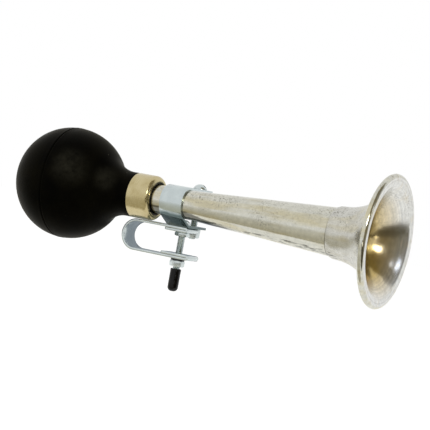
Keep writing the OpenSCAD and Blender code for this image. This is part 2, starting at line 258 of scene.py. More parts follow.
def plated_sheet(name, plate_hex, worn_hex, worn_share, bare_r, wetness, dull, spun):
    """Nickel plate on spun brass: a warm, dulled mirror, speckled and pitted, and yellow where it is thin.

    The speckle and the pits sit on the upper side, where wet lay, and wetness says how much there is.
    Thin plate shows up to worn_share of the brass, most of all in a streak along the horn. Within bare_r of
    the horn's axis the plate is gone. Dirt sits under the tube and at the bell's seam, and painted shade
    darkens the tube's underside beside the strap. The lathe has left rings, whose contrast is spun, and dull
    is the clean plate's roughness.
    """
    material, tree, shader, mm = start_material(name)
    off_axis = off_horn_axis(tree, mm)
    from_axis = add_node(tree, "VectorMath", {0: off_axis}, operation="LENGTH")
    outward = add_node(tree, "VectorMath", {0: off_axis}, operation="NORMALIZE")
    upward = add_node(tree, "VectorMath", {0: outward, 1: UPRIGHT}, operation="DOT_PRODUCT")
    along = add_node(tree, "SeparateXYZ", {"Vector": mm})

    # Rubbing marks are 1.5 mm wide and 30 mm long, worn patches 4 by 26 mm, specks 0.8 mm, wet zones 12 mm.
    # The pits sit 1.9 mm apart, and the specks push them up to 0.9 mm out of place, which makes them ragged
    rubbed = add_node(tree, "Mapping", {"Vector": mm, "Scale": (1 / 30, 1 / 1.5, 1 / 1.5)})
    rubbing = add_node(tree, "TexNoise", {"Vector": rubbed, "Scale": 1, "Detail": 4})
    thinned = add_node(tree, "Mapping", {"Vector": mm, "Scale": (1 / 26, 1 / 4, 1 / 4)})
    thinning = add_node(tree, "TexNoise", {"Vector": thinned, "Scale": 1, "Detail": 3})
    speckle = add_node(tree, "TexNoise", {"Vector": mm, "Scale": 1 / 0.8, "Detail": 3, "Roughness": 0.7})
    zones = add_node(tree, "TexNoise", {"Vector": mm, "Scale": 1 / 12, "Detail": 3})
    ragged = add_node(tree, "VectorMath", {0: speckle.outputs["Color"], 1: (0.9, 0.9, 0.9), 2: mm},
                      operation="MULTIPLY_ADD")
    pits = add_node(tree, "TexVoronoi", {"Vector": ragged, "Scale": 1 / 1.9})

    # Where wet lay: all of the upper side, and patches of the rest
    wet_side = add_node(tree, "MapRange", {"Value": upward, "From Min": -0.55, "From Max": 0.6,
                                           "To Min": wetness - 0.26, "To Max": wetness})
    wet = add_node(tree, "Math", {0: zones, 1: wet_side}, operation="ADD")

    # The worn streak, some way above the horn's left side
    streak_angle = math.radians(20)
    streak_side = Vector((0, -math.cos(streak_angle), math.sin(streak_angle)))
    beside = add_node(tree, "VectorMath", {0: outward, 1: streak_side}, operation="DOT_PRODUCT")
    streak = add_node(tree, "MapRange", {"Value": beside, "From Min": 0.93, "From Max": 0.995,
                                         "To Min": 0, "To Max": 0.16})
    thin_spots = add_node(tree, "Math", {0: thinning, 1: streak}, operation="ADD")
    thin = add_node(tree, "MapRange", {"Value": thin_spots, "From Min": 0.5, "From Max": 0.74,
                                       "To Min": 0, "To Max": worn_share})

    # The bare throat reaches 5 mm further out at the bottom
    lean = add_node(tree, "MapRange", {"Value": upward, "From Min": -0.9, "From Max": -0.2,
                                       "To Min": -5, "To Max": 0})
    from_bare = add_node(tree, "Math", {0: from_axis, 1: lean}, operation="ADD")
    bare = add_node(tree, "MapRange", {"Value": from_bare, "From Min": bare_r - 6, "From Max": bare_r + 4,
                                       "To Min": 1, "To Max": 0})
    worn = add_node(tree, "Math", {0: thin, 1: bare}, operation="MAXIMUM")
    plate = add_node(tree, "Mix", {"Factor": worn, "A": linear(plate_hex), "B": linear(worn_hex)},
                     data_type="RGBA")

    # The plate's shade follows the rubbing, a mottling of 2.4 mm and the lathe's rings, 0.9 mm apart
    tone = add_node(tree, "MapRange", {"Value": rubbing, "From Min": 0.3, "From Max": 0.7,
                                       "To Min": 0.93, "To Max": 1.03})
    mottle = add_node(tree, "TexNoise", {"Vector": mm, "Scale": 1 / 2.4, "Detail": 4, "Roughness": 0.6})
    mottled = add_node(tree, "MapRange", {"Value": mottle, "From Min": 0.3, "From Max": 0.7,
                                          "To Min": 0.9, "To Max": 1.08})
    rings = add_node(tree, "TexNoise", {"W": from_axis, "Scale": 1 / 0.9, "Detail": 3},
                     noise_dimensions="1D")
    ringed = add_node(tree, "MapRange", {"Value": rings, "From Min": 0.3, "From Max": 0.7,
                                         "To Min": 1 - spun, "To Max": 1 + spun / 2})
    mottled_tone = add_node(tree, "Math", {0: tone, 1: mottled}, operation="MULTIPLY")
    shade = add_node(tree, "Math", {0: mottled_tone, 1: ringed}, operation="MULTIPLY")
    toned = add_node(tree, "VectorMath", {0: plate, "Scale": shade}, operation="SCALE")

    # Specks and pits, where wet lay
    speckle_level = add_node(tree, "MapRange", {"Value": wet, "From Min": 0.4, "From Max": 0.75,
                                                "To Min": 0, "To Max": 0.8})
    speckled = add_node(tree, "MapRange", {"Value": speckle, "From Min": 0.5, "From Max": 0.68,
                                           "To Min": 0, "To Max": speckle_level})
    specks = add_node(tree, "Mix", {"Factor": speckled, "A": toned, "B": linear("#7d7b70")},
                      data_type="RGBA")
    pit_size = add_node(tree, "MapRange", {"Value": wet, "From Min": 0.46, "From Max": 0.8,
                                           "To Min": 0, "To Max": 0.24})
    pitted = add_node(tree, "Math", {0: pits, 1: pit_size}, operation="LESS_THAN")
    pit_share = add_node(tree, "Math", {0: pitted, 1: 0.6}, operation="MULTIPLY")
    pocked = add_node(tree, "Mix", {"Factor": pit_share, "A": specks, "B": linear("#5f594a")},
                      data_type="RGBA")

    # Flecks of dirt, 1.2 mm wide and 5 mm long, along the tube's underside, and a wedge of painted shade
    # beside the strap
    flecked = add_node(tree, "Mapping", {"Vector": mm, "Scale": (1 / 5, 1 / 1.2, 1 / 1.2)})
    flecks = add_node(tree, "TexNoise", {"Vector": flecked, "Scale": 1, "Detail": 4, "Roughness": 0.65})
    under = add_node(tree, "Math", {0: upward, 1: -0.84, 2: 0.1}, operation="COMPARE")
    on_tube = add_node(tree, "Math", {0: from_axis, 1: MOUTH_R + 2}, operation="LESS_THAN")
    dirty = add_node(tree, "MapRange", {"Value": flecks, "From Min": 0.51, "From Max": 0.6,
                                        "To Min": 0, "To Max": 0.8})
    fleck_zone = add_node(tree, "Math", {0: under, 1: on_tube}, operation="MULTIPLY")
    fleck_share = add_node(tree, "Math", {0: fleck_zone, 1: dirty}, operation="MULTIPLY")
    # The painted shade thins out along the tube
    strap_shade_length = 52
    past_strap = add_node(tree, "MapRange", {"Value": along.outputs["X"], "From Min": HORN.x,
                                             "From Max": HORN.x + strap_shade_length,
                                             "To Min": -0.22, "To Max": 0.62})
    strap_shade_level = add_node(tree, "Math", {0: upward, 1: past_strap}, operation="ADD")
    strap_shade_edge = add_node(tree, "Math", {0: flecks, 1: 0.3, 2: strap_shade_level}, operation="MULTIPLY_ADD")
    strap_shade = add_node(tree, "MapRange", {"Value": strap_shade_edge, "From Min": -0.5, "From Max": -0.42,
                                        "To Min": 0.8, "To Max": 0})
    # Painted shade: the wedge beside the strap is mixed in with the dirt flecks, in the same dark colour
    dirt_and_shade = add_node(tree, "Math", {0: fleck_share, 1: strap_shade}, operation="MAXIMUM")
    dirtied_and_shaded = add_node(tree, "Mix", {"Factor": dirt_and_shade, "A": pocked, "B": linear("#45443a")}, data_type="RGBA")

    # The grime at the bell's seam has run down, so that it is faint at the top
    seam_half = 0.3
    seam_back = 0.15
    seam_place = HORN.x + TUBE_FRONT - SOCKET - seam_back
    at_seam = add_node(tree, "Math", {0: along.outputs["X"], 1: seam_place, 2: seam_half},
                       operation="COMPARE")
    run_down = add_node(tree, "MapRange", {"Value": upward, "From Min": -0.3, "From Max": 0.7,
                                           "To Min": 1.1, "To Max": 0.25})
    seam_dirt = add_node(tree, "Math", {0: run_down, 1: zones}, operation="MULTIPLY")
    grime_and_gap_shade = add_node(tree, "Math", {0: at_seam, 1: seam_dirt}, operation="MULTIPLY")
    base = add_node(tree, "Mix", {"Factor": grime_and_gap_shade, "A": dirtied_and_shaded, "B": linear("#5a5546")}, data_type="RGBA")

    # Specks are duller than the plate. The sheet has slow waves of 9 mm, fine scores and dimples at the pits
    gloss = add_node(tree, "MapRange", {"Value": speckled, "From Min": 0, "From Max": 0.5,
                                        "To Min": dull, "To Max": dull + 0.14})
    wavy = add_node(tree, "TexNoise", {"Vector": mm, "Scale": 1 / 9, "Detail": 1})
    waves = add_node(tree, "Bump", {"Height": wavy, "Strength": 0.5, "Distance": 0.08 * MM})
    scored = add_node(tree, "Bump", {"Height": rubbing, "Strength": 0.25, "Distance": 0.02 * MM,
                                     "Normal": waves})
    dimples = add_node(tree, "Bump", {"Height": pitted, "Strength": 0.6, "Distance": 0.05 * MM,
                                      "Normal": scored}, invert=True)
    set_inputs(tree, shader, {"Base Color": base, "Roughness": gloss, "Normal": dimples, "Metallic": 1})
    return material


def brass(name, bright_hex, tarnish_hex, dull, gap_shade_r):
    """Pressed or rolled brass: a clear yellow mirror with soft patches of tarnish and fine scratches.

    Within gap_shade_r of the horn's axis it is black with painted shade, where the gap between collar and
    tube lies.
    """
    material, tree, shader, mm = start_material(name)
    # Tarnish comes in patches of 5 mm, and scratches are 0.4 mm wide and 6 mm long
    patches = add_node(tree, "TexNoise", {"Vector": mm, "Scale": 1 / 5, "Detail": 4})
    scratched = add_node(tree, "Mapping", {"Vector": mm, "Scale": (1 / 0.4, 1 / 6, 1 / 6)})
    scratches = add_node(tree, "TexNoise", {"Vector": scratched, "Scale": 1, "Detail": 3})
    tarnished = add_node(tree, "MapRange", {"Value": patches, "From Min": 0.4, "From Max": 0.75,
                                            "To Min": 0, "To Max": 0.8})
    clean = add_node(tree, "Mix", {"Factor": tarnished, "A": linear(bright_hex), "B": linear(tarnish_hex)},
                     data_type="RGBA")
    from_axis = add_node(tree, "VectorMath", {0: off_horn_axis(tree, mm)}, operation="LENGTH")
    # Painted shade: black round the tube's hole, where the gap between collar and tube is in shade
    grime_and_gap_shade = add_node(tree, "MapRange", {"Value": from_axis, "From Min": gap_shade_r - 0.2,
                                        "From Max": gap_shade_r + 0.3, "To Min": 0.95, "To Max": 0})
    base = add_node(tree, "Mix", {"Factor": grime_and_gap_shade, "A": clean, "B": linear("#120e06")}, data_type="RGBA")
    gloss = add_node(tree, "MapRange", {"Value": scratches, "From Min": 0.3, "From Max": 0.7,
                                        "To Min": dull, "To Max": dull + 0.14})
    lines = add_node(tree, "Bump", {"Height": scratches, "Strength": 0.3, "Distance": 0.02 * MM})
    set_inputs(tree, shader, {"Base Color": base, "Roughness": gloss, "Normal": lines, "Metallic": 1})
    return material


def moulded_rubber():
    """Natural rubber, moulded and aged: deep black, dull, with olive bloom, a fine skin, stuck dust and two
    patches of painted highlight.
    """
    material, tree, shader, mm = start_material("moulded_natural_rubber")
    # The bloom drifts over 16 mm and dust sits 9 mm apart; the skin's grain is 0.9 mm, drawn coarse to show
    bloom = add_node(tree, "TexNoise", {"Vector": mm, "Scale": 1 / 16, "Detail": 5, "Roughness": 0.6})
    grain = add_node(tree, "TexNoise", {"Vector": mm, "Scale": 1 / 0.9, "Detail": 2})
    dust = add_node(tree, "TexVoronoi", {"Vector": mm, "Scale": 1 / 9})
    bloomed = add_node(tree, "MapRange", {"Value": bloom, "From Min": 0.42, "From Max": 0.75,
                                          "To Min": 0, "To Max": 0.7})
    black = add_node(tree, "Mix", {"Factor": bloomed, "A": linear("#030303"), "B": linear("#100e07")},
                     data_type="RGBA")
    dusty = add_node(tree, "MapRange", {"Value": dust, "From Min": 0.02, "From Max": 0.045,
                                        "To Min": 0.4, "To Max": 0})
    base = add_node(tree, "Mix", {"Factor": dusty, "A": black, "B": linear("#6b675a")}, data_type="RGBA")
    # Two painted highlights on the ball's left, patchy like bloom: their middles, and how far they reach
    painted_highlights = (((-28.7, -35.7, 29.7), 15), ((-14.8, -22, 26), 10))
    highlight_noise = add_node(tree, "TexNoise", {"Vector": mm, "Scale": 1 / 5, "Detail": 6, "Roughness": 0.75})
    highlight_marks = add_node(tree, "MapRange", {"Value": highlight_noise, "From Min": 0.25, "From Max": 0.7})
    for highlight_middle, highlight_r in painted_highlights:
        from_highlight = add_node(tree, "VectorMath", {0: mm, 1: highlight_middle}, operation="DISTANCE")
        near_highlight = add_node(tree, "MapRange", {"Value": from_highlight, "From Min": 0, "From Max": highlight_r,
                                               "To Min": 0.55, "To Max": 0},
                            interpolation_type="SMOOTHERSTEP")
        highlight_share = add_node(tree, "Math", {0: near_highlight, 1: highlight_marks}, operation="MULTIPLY")
        # Painted highlight: each patch is lightened towards a dusty grey
        base = add_node(tree, "Mix", {"Factor": highlight_share, "A": base, "B": linear("#3a382e")},
                        data_type="RGBA")
    dull = add_node(tree, "MapRange", {"Value": bloom, "From Min": 0.3, "From Max": 0.7,
                                       "To Min": 0.36, "To Max": 0.5})
    skin = add_node(tree, "Bump", {"Height": grain, "Strength": 0.3, "Distance": 0.04 * MM})
    set_inputs(tree, shader, {"Base Color": base, "Roughness": dull, "Normal": skin, "IOR": 1.52,
                              "Specular IOR Level": 0.015, "Specular Tint": linear("#d6cca6"),
                              "Sheen Weight": 0.1, "Sheen Roughness": 0.35, "Sheen Tint": linear("#b0a14c")})
    return material


def plated_steel(name, bright_hex, cloudy_hex, dull, painted_shade_level):
    """Zinc on pressed steel, or spring steel: a bluish grey with soft clouds, rolled grain and dark specks.

    Below painted_shade_level the faces that look out and down are darkened with painted shade, as on the
    strap's leg.
    """
    material, tree, shader, mm = start_material(name)
    # Clouds are 5 mm across, the rolled grain 0.3 mm wide and 5 mm long, and specks sit 1.9 mm apart
    clouds = add_node(tree, "TexNoise", {"Vector": mm, "Scale": 1 / 5, "Detail": 3})
    rolled = add_node(tree, "Mapping", {"Vector": mm, "Scale": (1 / 0.3, 1 / 5, 1 / 5)})
    grain = add_node(tree, "TexNoise", {"Vector": rolled, "Scale": 1, "Detail": 2})
    specks = add_node(tree, "TexVoronoi", {"Vector": mm, "Scale": 1 / 1.9})
    cloudy = add_node(tree, "MapRange", {"Value": clouds, "From Min": 0.35, "From Max": 0.7})
    plate = add_node(tree, "Mix", {"Factor": cloudy, "A": linear(bright_hex), "B": linear(cloudy_hex)},
                     data_type="RGBA")
    specked = add_node(tree, "MapRange", {"Value": specks, "From Min": 0.05, "From Max": 0.1,
                                          "To Min": 0.45, "To Max": 0})
    # The clouds make the painted shade's upper edge ragged, and it fades out over 2 mm
    raggedness = 3
    level = add_node(tree, "SeparateXYZ", {"Vector": mm})
    ragged = add_node(tree, "Math", {0: clouds, 1: raggedness, 2: level.outputs["Z"]},
                      operation="MULTIPLY_ADD")
    shaded_below = add_node(tree, "MapRange", {"Value": ragged, "From Min": painted_shade_level,
                                         "From Max": painted_shade_level + 2, "To Min": 0.9, "To Max": 0})
    out_and_down = (0, -0.8, -0.6)
    facing = add_node(tree, "TexCoord").outputs["Normal"]
    outward = add_node(tree, "VectorMath", {0: facing, 1: out_and_down}, operation="DOT_PRODUCT")
    on_outside = add_node(tree, "MapRange", {"Value": outward, "From Min": -0.5, "From Max": -0.1})
    shade_share = add_node(tree, "Math", {0: shaded_below, 1: on_outside}, operation="MULTIPLY")
    # Painted shade: the low faces that look out and down are darkened towards a dark blue-green
    shaded_plate = add_node(tree, "Mix", {"Factor": shade_share, "A": plate, "B": linear("#3f5150")},
                    data_type="RGBA")
    base = add_node(tree, "Mix", {"Factor": specked, "A": shaded_plate, "B": linear("#4d5254")}, data_type="RGBA")
    gloss = add_node(tree, "MapRange", {"Value": clouds, "From Min": 0.3, "From Max": 0.7,
                                        "To Min": dull, "To Max": dull + 0.06})
    lines = add_node(tree, "Bump", {"Height": grain, "Strength": 0.15, "Distance": 0.02 * MM})
    set_inputs(tree, shader, {"Base Color": base, "Roughness": gloss, "Normal": lines, "Metallic": 1})
    return material


def dipped_vinyl():
    """Soft PVC, made by dipping: glossy black with slow ripples and a few dull rubs."""
    material, tree, shader, mm = start_material("dipped_pvc")
    # Ripples are 1.6 mm apart and rubs 2.5 mm across
    ripples = add_node(tree, "TexNoise", {"Vector": mm, "Scale": 1 / 1.6, "Detail": 1})
    rubs = add_node(tree, "TexNoise", {"Vector": mm, "Scale": 1 / 2.5, "Detail": 4})
    rubbed = add_node(tree, "MapRange", {"Value": rubs, "From Min": 0.5, "From Max": 0.75})
    base = add_node(tree, "Mix", {"Factor": rubbed, "A": linear("#030303"), "B": linear("#0c0c0c")},
                    data_type="RGBA")
    gloss = add_node(tree, "MapRange", {"Value": rubs, "From Min": 0.35, "From Max": 0.75,
                                        "To Min": 0.08, "To Max": 0.26})
    skin = add_node(tree, "Bump", {"Height": ripples, "Strength": 0.4, "Distance": 0.1 * MM})
    set_inputs(tree, shader, {"Base Color": base, "Roughness": gloss, "Normal": skin, "IOR": 1.53,
                              "Specular IOR Level": 0.22})
    return material


NO_PAINTED_SHADE = -100
NICKEL = plated_sheet("nickel_plated_brass", "#cbcabf", "#bfb48c",
                      worn_share=0.6, bare_r=0, wetness=0.16, dull=0.12, spun=0)
NICKEL_BACK = plated_sheet("nickel_plated_brass_on_the_bell", "#cbcac3", "#bfb48c",
                           worn_share=0.4, bare_r=0, wetness=0.16, dull=0.27, spun=0.06)
NICKEL_INSIDE = plated_sheet("nickel_plated_brass_inside_the_bell", "#dadad6", "#c2ab70",
                             worn_share=0.3, bare_r=20, wetness=0, dull=0.2, spun=0.12)
COLLAR_BRASS = brass("pressed_pale_brass", "#c2b58d", "#ac9d70", dull=0.15, gap_shade_r=COLLAR_HOLE_R + 1)
REED_BRASS = brass("rolled_reed_brass", "#c29f58", "#8f7038", dull=0.24, gap_shade_r=0)
RUBBER = moulded_rubber()
ZINC = plated_steel("zinc_plated_steel", "#c8d0cf", "#bcc4c5", dull=0.17, painted_shade_level=NO_PAINTED_SHADE)
STRAP_ZINC = plated_steel("zinc_plated_steel_with_painted_shade", "#c4cdcd", "#b9c2c3", dull=0.17, painted_shade_level=15.5)
SPRING_STEEL = plated_steel("blackened_spring_steel", "#4c4e50", "#2e3032", dull=0.34, painted_shade_level=NO_PAINTED_SHADE)
VINYL = dipped_vinyl()


def arc(mid, radius, start, end, steps):
    """Points of a profile along an arc, from one angle to another in degrees."""
    angles = [math.radians(start + (end - start) * i / steps) for i in range(steps + 1)]
    return [(mid[0] + radius * math.cos(a), mid[1] + radius * math.sin(a)) for a in angles]


def pick_only(piece):
    """Selects one object and makes it active."""
    bpy.ops.object.select_all(action="DESELECT")
    piece.select_set(True)
    bpy.context.view_layer.objects.active = piece


def draw_line(name, points):
    """Starts a piece at the first point and draws a line on through the others; leaves it in edit mode."""
    bpy.ops.object.select_all(action="DESELECT")
    bpy.ops.mesh.primitive_plane_add(size=MM, location=points[0] * MM)
    piece = bpy.context.object
    piece.name = name
    bpy.ops.object.mode_set(mode="EDIT")
    bpy.ops.mesh.merge(type="CENTER")
    for here, there in zip(points, points[1:]):
        bpy.ops.mesh.extrude_vertices_move(TRANSFORM_OT_translate={"value": (there - here) * MM})
    bpy.ops.mesh.select_all(action="SELECT")
    return piece


def spin_round(name, axis, along, profile, steps=SPIN_STEPS, angle=math.tau):
    """A turned piece: a profile of (radius, place along the axis) is drawn beside the axis and spun."""
    out = UPRIGHT if along == ALONG_HORN else ALONG_HORN
    piece = draw_line(name, [axis + out * radius + along * place for radius, place in profile])
    bpy.ops.mesh.spin(steps=steps, angle=angle, center=axis * MM, axis=along)
    bpy.ops.mesh.select_all(action="SELECT")
    bpy.ops.mesh.remove_doubles(threshold=DOUBLES * MM)
    if angle < math.tau:
        bpy.ops.mesh.fill_holes(sides=0)
    bpy.ops.mesh.normals_make_consistent(inside=False)
    bpy.ops.object.mode_set(mode="OBJECT")
    return piece


def apply_modifier(piece, kind, **settings):
    pick_only(piece)
    bpy.ops.object.modifier_add(type=kind)
    modifier = piece.modifiers[-1]
    for name, value in settings.items():
        setattr(modifier, name, value)
    bpy.ops.object.modifier_apply(modifier=modifier.name)


def combine(piece, shape, operation):
    """Cuts a piece with another shape, or keeps what they share, and removes the shape."""
    apply_modifier(piece, "BOOLEAN", object=shape, operation=operation, solver="EXACT")
    pick_only(shape)
    bpy.ops.object.delete()
    pick_only(piece)


def drill(piece, axis, radius, low, high):
    """Drills an upright hole between two levels."""
    bpy.ops.object.select_all(action="DESELECT")
    bpy.ops.mesh.primitive_cylinder_add(vertices=SMALL_SPIN_STEPS, radius=radius * MM,
                                        depth=(high - low) * MM,
                                        location=(axis + UPRIGHT * (low + high) / 2) * MM)
    combine(piece, bpy.context.object, "DIFFERENCE")


def finish_piece(piece, material, body, node_name, smooth_angle=32):
    """Puts the piece's place into its mesh, smooths it, and lets it stand for its CAD node."""
    pick_only(piece)
    bpy.ops.object.transform_apply(location=True, rotation=True, scale=True)
    bpy.ops.object.shade_smooth_by_angle(angle=math.radians(smooth_angle))
    piece.data.materials.append(material)
    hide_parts(node_name)
    if body:
        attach(piece, body)


tube_slope = (MOUTH_R - NECK_R) / (TUBE_FRONT - NECK_FRONT)


def tube_r(place):
    """The tube's outer radius at a place along the horn."""
    return NECK_R + max(0, place - NECK_FRONT) * tube_slope


def make_tube():
    """The drawn tube: a straight neck and a long cone, with rings close to the change between them."""
    close = 1.5
    cone_rings = [36, 64]
    rings = [-TUBE_TAIL, NECK_FRONT - close, NECK_FRONT, NECK_FRONT + close] + cone_rings + [TUBE_FRONT]
    outside = [(tube_r(x), x) for x in rings]
    inside = [(tube_r(x) - SHEET, x) for x in reversed(rings)]
    tube = spin_round("tube_sheet", HORN, ALONG_HORN, outside + inside + outside[:1])
    finish_piece(tube, NICKEL, "horn", "horn_tube")


def make_bell():
    """The spun bell: its sheet follows one line from the socket over flare and lip, and round the wire."""
    half = SHEET / 2
    feather = 0.25
    rim_r = RIM_WIRE_R + PRESS_GAP + SHEET
    curl_r = rim_r - half
    throat = math.atan(tube_slope)
    flare = math.radians(FLARE_ANGLE)
    lip = math.radians(LIP_ANGLE)
    lift = (PRESS_GAP + half) / math.cos(throat)
    rim_mid_r = BELL_R - rim_r
    flare_start_r = MOUTH_R + THROAT * tube_slope + lift
    flare_end_r = BELL_R - LIP_WIDTH
    flare_r = (flare_end_r - flare_start_r) / (math.cos(throat) - math.cos(flare))
    flare_mid = (flare_end_r + flare_r * math.cos(flare), TUBE_FRONT + THROAT - flare_r * math.sin(throat))
    lip_mid = (flare_end_r + LIP_BEND_R * math.cos(flare),
               flare_mid[1] + (flare_r - LIP_BEND_R) * math.sin(flare))
    lip_rise = rim_mid_r - lip_mid[0] + (LIP_BEND_R - curl_r) * math.cos(lip)
    rim_mid = (rim_mid_r, lip_mid[1] + (LIP_BEND_R - curl_r) * math.sin(lip) + lip_rise / math.tan(lip))
    flare_from = 180 - math.degrees(throat)
    lip_from = 180 - FLARE_ANGLE
    curl_from = 180 - LIP_ANGLE

    def sheet_side(offset):
        """One face of the sheet, at an offset from its middle; the socket's end is feathered."""
        edge = min(offset, feather - half)
        socket = ((TUBE_FRONT - SOCKET, edge), (TUBE_FRONT - SOCKET / 2, offset), (TUBE_FRONT, offset))
        line = [(tube_r(x) + lift + side * math.cos(throat), x - side * math.sin(throat))
                for x, side in socket]
        line += arc(flare_mid, flare_r - offset, flare_from, lip_from, steps=48)
        line += arc(lip_mid, LIP_BEND_R - offset, lip_from, curl_from, steps=10)[1:]
        line += arc(rim_mid, curl_r - offset, curl_from, curl_from - CURL_SWEEP, steps=30)
        return line

    outside = sheet_side(half)
    inside = sheet_side(-half)
    bell = spin_round("bell_sheet", HORN, ALONG_HORN, outside + inside[::-1] + outside[:1])
    finish_piece(bell, NICKEL, "horn", "bell")
    # The faces that look into the bell take its inside's finish, and the flare's back is duller than the rim
    bell.data.materials.append(NICKEL_INSIDE)
    bell.data.materials.append(NICKEL_BACK)
    inside_index = bell.data.materials.find(NICKEL_INSIDE.name)
    back_index = bell.data.materials.find(NICKEL_BACK.name)
    for face in bell.data.polygons:
        across = face.center / MM - HORN
        across.x = 0
        if face.normal.dot(across) < 0 and across.length < rim_mid_r:
            face.material_index = inside_index
        elif across.length < flare_end_r:
            face.material_index = back_index


def make_collar():
    """The pressed collar: a wall over the rubber neck, a round shoulder and a front with the tube's hole."""
    edge = 0.25
    rear = -COLLAR_GAP - COLLAR_LENGTH
    front = -COLLAR_GAP - COLLAR_WALL
    inner_r = BULB_NECK_R + PRESS_GAP
    outer_r = inner_r + COLLAR_WALL
    inner_round = COLLAR_SHOULDER_R - COLLAR_WALL
    shoulder_mid = (outer_r - COLLAR_SHOULDER_R, -COLLAR_GAP - COLLAR_SHOULDER_R)
    profile = [(inner_r, rear)]
    profile += arc((outer_r - edge, rear + edge), edge, -90, 0, steps=5)
    profile += arc(shoulder_mid, COLLAR_SHOULDER_R, 0, 90, steps=20)
    profile += arc((COLLAR_HOLE_R + edge, -COLLAR_GAP - edge), edge, 90, 180, steps=5)
    profile += [(COLLAR_HOLE_R, front)]
    profile += arc((inner_r - inner_round, front - inner_round), inner_round, 90, 0, steps=14)
    profile += [(inner_r, rear)]
    collar = spin_round("collar_pressing", HORN, ALONG_HORN, profile)
    finish_piece(collar, COLLAR_BRASS, "horn", "collar")


def make_bulb():
    """The moulded bulb: a hollow ball with a mould line round its middle, running into its thick neck."""
    neck_in = NECK_R + PRESS_GAP
    hollow_r = BULB_R - BULB_WALL
    front = -COLLAR_GAP - COLLAR_WALL - PRESS_GAP
    inner_round = COLLAR_SHOULDER_R - COLLAR_WALL
    fillet_mid_r = BARE_NECK_R + BULB_FILLET_R
    fillet_run = math.sqrt((BULB_R + BULB_FILLET_R) ** 2 - fillet_mid_r ** 2)
    step = -COLLAR_GAP - COLLAR_LENGTH - PRESS_GAP
    step_round = 0.3
    fillet_place = -COLLAR_GAP - COLLAR_LENGTH - NECK_BARE
    fillet_angle = math.degrees(math.atan2(fillet_run, fillet_mid_r))
    ball = fillet_place - fillet_run
    # The mould line's two lips stand a little proud of the ball, with a groove between them: (proud, along)
    mould_line = [(0.02, -1.3), (0.1, -0.7), (0.06, -0.45), (-0.3, -0.2), (-0.36, 0),
                  (-0.3, 0.2), (0.06, 0.45), (0.1, 0.7), (0.02, 1.3)]
    mould_reach = 2
    seam_angle = math.degrees(mould_reach / BULB_R)
    hollow_from = math.degrees(math.acos(neck_in / hollow_r))
    profile = arc((0, ball), BULB_R, -90, -seam_angle, steps=60)
    profile += [(BULB_R + proud, ball + along) for proud, along in mould_line]
    profile += arc((0, ball), BULB_R, seam_angle, fillet_angle, steps=50)
    profile += arc((fillet_mid_r, fillet_place), BULB_FILLET_R, 180 + fillet_angle, 180, steps=24)[1:]
    profile += arc((BARE_NECK_R - step_round, step - step_round), step_round, 0, 90, steps=5)
    profile += [(BULB_NECK_R, step)]
    profile += arc((BULB_NECK_R - inner_round, front - inner_round), inner_round, 0, 90, steps=10)
    profile += [(neck_in, front)]
    profile += arc((0, ball), hollow_r, hollow_from, -90, steps=60)
    bulb = spin_round("bulb_moulding", HORN, ALONG_HORN, profile)
    finish_piece(bulb, RUBBER, None, "bulb", smooth_angle=60)
    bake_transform(bulb)


def make_strip(name, line, width, across, wall, corner_r):
    """A bent strip: a line is drawn out to its width, rounded at its four corners and given its wall."""
    strip = draw_line(name, [point - across * width / 2 for point in line])
    bpy.ops.mesh.extrude_region_move(TRANSFORM_OT_translate={"value": across * width * MM})
    bpy.ops.object.mode_set(mode="OBJECT")
    pick_only(strip)
    bpy.ops.object.transform_apply(location=True)
    corners = [(end + across * side * width / 2) * MM for end in (line[0], line[-1]) for side in (-1, 1)]
    for vertex in strip.data.vertices:
        vertex.select = any((vertex.co - corner).length < DOUBLES * MM for corner in corners)
    for edge in strip.data.edges:
        edge.select = False
    for face in strip.data.polygons:
        face.select = False
    bpy.ops.object.mode_set(mode="EDIT")
    bpy.ops.mesh.bevel(affect="VERTICES", offset=corner_r * MM, segments=8)
    bpy.ops.object.mode_set(mode="OBJECT")
    apply_modifier(strip, "SOLIDIFY", thickness=wall * MM, offset=0, use_even_offset=True)
    return strip


def soften_edges(piece, width):
    """Rounds a piece's sharp edges a little, and takes out the slivers that this leaves."""
    apply_modifier(piece, "BEVEL", width=width * MM, segments=2, limit_method="ANGLE",
                   angle_limit=math.radians(SHARP_ANGLE))
    bpy.ops.object.mode_set(mode="EDIT")
    bpy.ops.mesh.select_all(action="SELECT")
    bpy.ops.mesh.dissolve_degenerate(threshold=DOUBLES * MM)
    bpy.ops.object.mode_set(mode="OBJECT")


def make_strap():
    """The neck strap: a top ear, the band round the neck, the slanted leg and the foot."""
    inner_r = NECK_R + RUN_GAP
    mid_r = inner_r + STRAP_WALL / 2
    bend_level = STRAP_BEND_R + STRAP_WALL - FOOT_DROP
    leg = math.radians(LEG_ANGLE)
    leg_from = 270 - LEG_ANGLE
    leg_length = ((STRAP_BEND_R - inner_r) * math.cos(leg) - bend_level) / math.sin(leg)
    foot_start = leg_length * math.cos(leg) + (STRAP_BEND_R - inner_r) * math.sin(leg)
    section = [(EAR_END, mid_r)]
    section += arc((0, 0), mid_r, 90, leg_from, steps=64)
    section += arc((foot_start, bend_level), STRAP_BEND_R + STRAP_WALL / 2, leg_from, 270, steps=10)
    section += [(EAR_END, STRAP_WALL / 2 - FOOT_DROP)]
    line = [HORN + Vector((0, y, z)) for y, z in section]
    strap = make_strip("strap_strip", line, STRAP_WIDTH, ALONG_HORN, STRAP_WALL, EAR_CORNER_R)
    foot = HORN.z - FOOT_DROP
    drill(strap, BOLT, SCREW_R + RUN_GAP, foot - DRILL_PAST, foot + STRAP_WALL + DRILL_PAST)
    drill(strap, SCREW, SCREW_R + HOLE_GAP, foot - DRILL_PAST, HORN.z + mid_r + STRAP_WALL)
    soften_edges(strap, STRAP_EDGE)
    finish_piece(strap, STRAP_ZINC, "bracket", "neck_strap")


